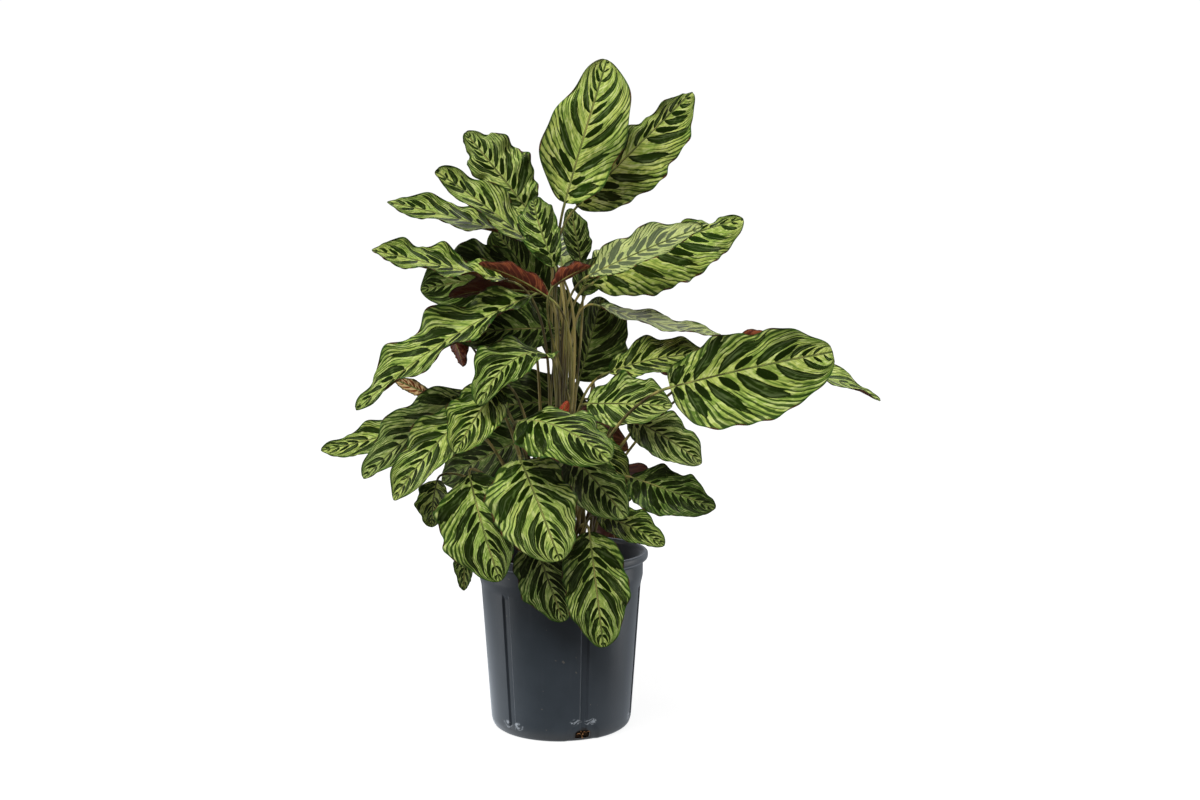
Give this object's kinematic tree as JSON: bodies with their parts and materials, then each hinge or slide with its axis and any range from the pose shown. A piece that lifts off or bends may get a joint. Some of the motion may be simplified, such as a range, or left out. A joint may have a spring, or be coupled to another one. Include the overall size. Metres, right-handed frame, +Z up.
{
  "type": "potted peacock plant",
  "caption": "Bushy foliage plant with broad waved oval leaves on slender stems, rising from the soil of a round ribbed nursery pot.",
  "frame": {"origin": "middle of the pot's underside", "axes": "+Z up out of the pot, -Y to the plant's front, +X to its right as seen from the front"},
  "size_m": [0.725, 0.4653, 0.847],
  "materials": {
    "leaf": "satin leaf, yellow green with dark green markings, red brown underneath",
    "soil": "moist dark potting mix of peat and bark",
    "pot": "satin blow-moulded plastic, dark slate grey"
  },
  "bodies": {
    "root": {"pot": "pot", "soil": "soil", "leaf_top_front": "leaf", "leaf_top_right": "leaf", "leaf_top_left": "leaf", "leaf_upright": "leaf", "leaf_top_small": "leaf", "leaf_slant_left": "leaf", "leaf_edge_left": "leaf", "leaf_rolled_left": "leaf", "leaf_left_behind": "leaf", "leaf_red_upper": "leaf", "leaf_red_underside": "leaf", "leaf_back_left": "leaf", "leaf_long_left": "leaf", "leaf_inner_left": "leaf", "leaf_inner_high": "leaf", "leaf_red_tip": "leaf", "leaf_young_left": "leaf", "leaf_far_left": "leaf", "leaf_left_droop": "leaf", "leaf_left_front": "leaf", "leaf_left_low": "leaf", "leaf_left_small": "leaf", "leaf_arching": "leaf", "leaf_front_left": "leaf", "leaf_front_low_left": "leaf", "leaf_front_middle": "leaf", "leaf_front_flat": "leaf", "leaf_front_right": "leaf", "leaf_over_lip": "leaf", "leaf_over_lip_left": "leaf", "leaf_big_right": "leaf", "leaf_mid_right": "leaf", "leaf_under_right": "leaf", "leaf_low_right": "leaf", "leaf_low_inner": "leaf", "leaf_low_front": "leaf", "leaf_right_behind": "leaf", "leaf_right_inner": "leaf", "leaf_rolled_right": "leaf", "leaf_shaded": "leaf", "leaf_wavy_right": "leaf", "leaf_pale_right": "leaf", "leaf_thin_right": "leaf", "leaf_red_inner": "leaf", "leaf_back_small": "leaf", "leaf_new_roll": "leaf", "leaf_rear_lip_right": "leaf", "leaf_rear_lip_left": "leaf", "leaf_rear_top": "leaf", "leaf_rear_top_right": "leaf", "leaf_rear_top_left": "leaf", "leaf_rear_right": "leaf", "leaf_rear_left": "leaf", "leaf_rear_middle": "leaf", "leaf_rear_low_right": "leaf", "leaf_rear_low_left": "leaf", "leaf_rear_low_middle": "leaf"}
  },
  "joints": []
}
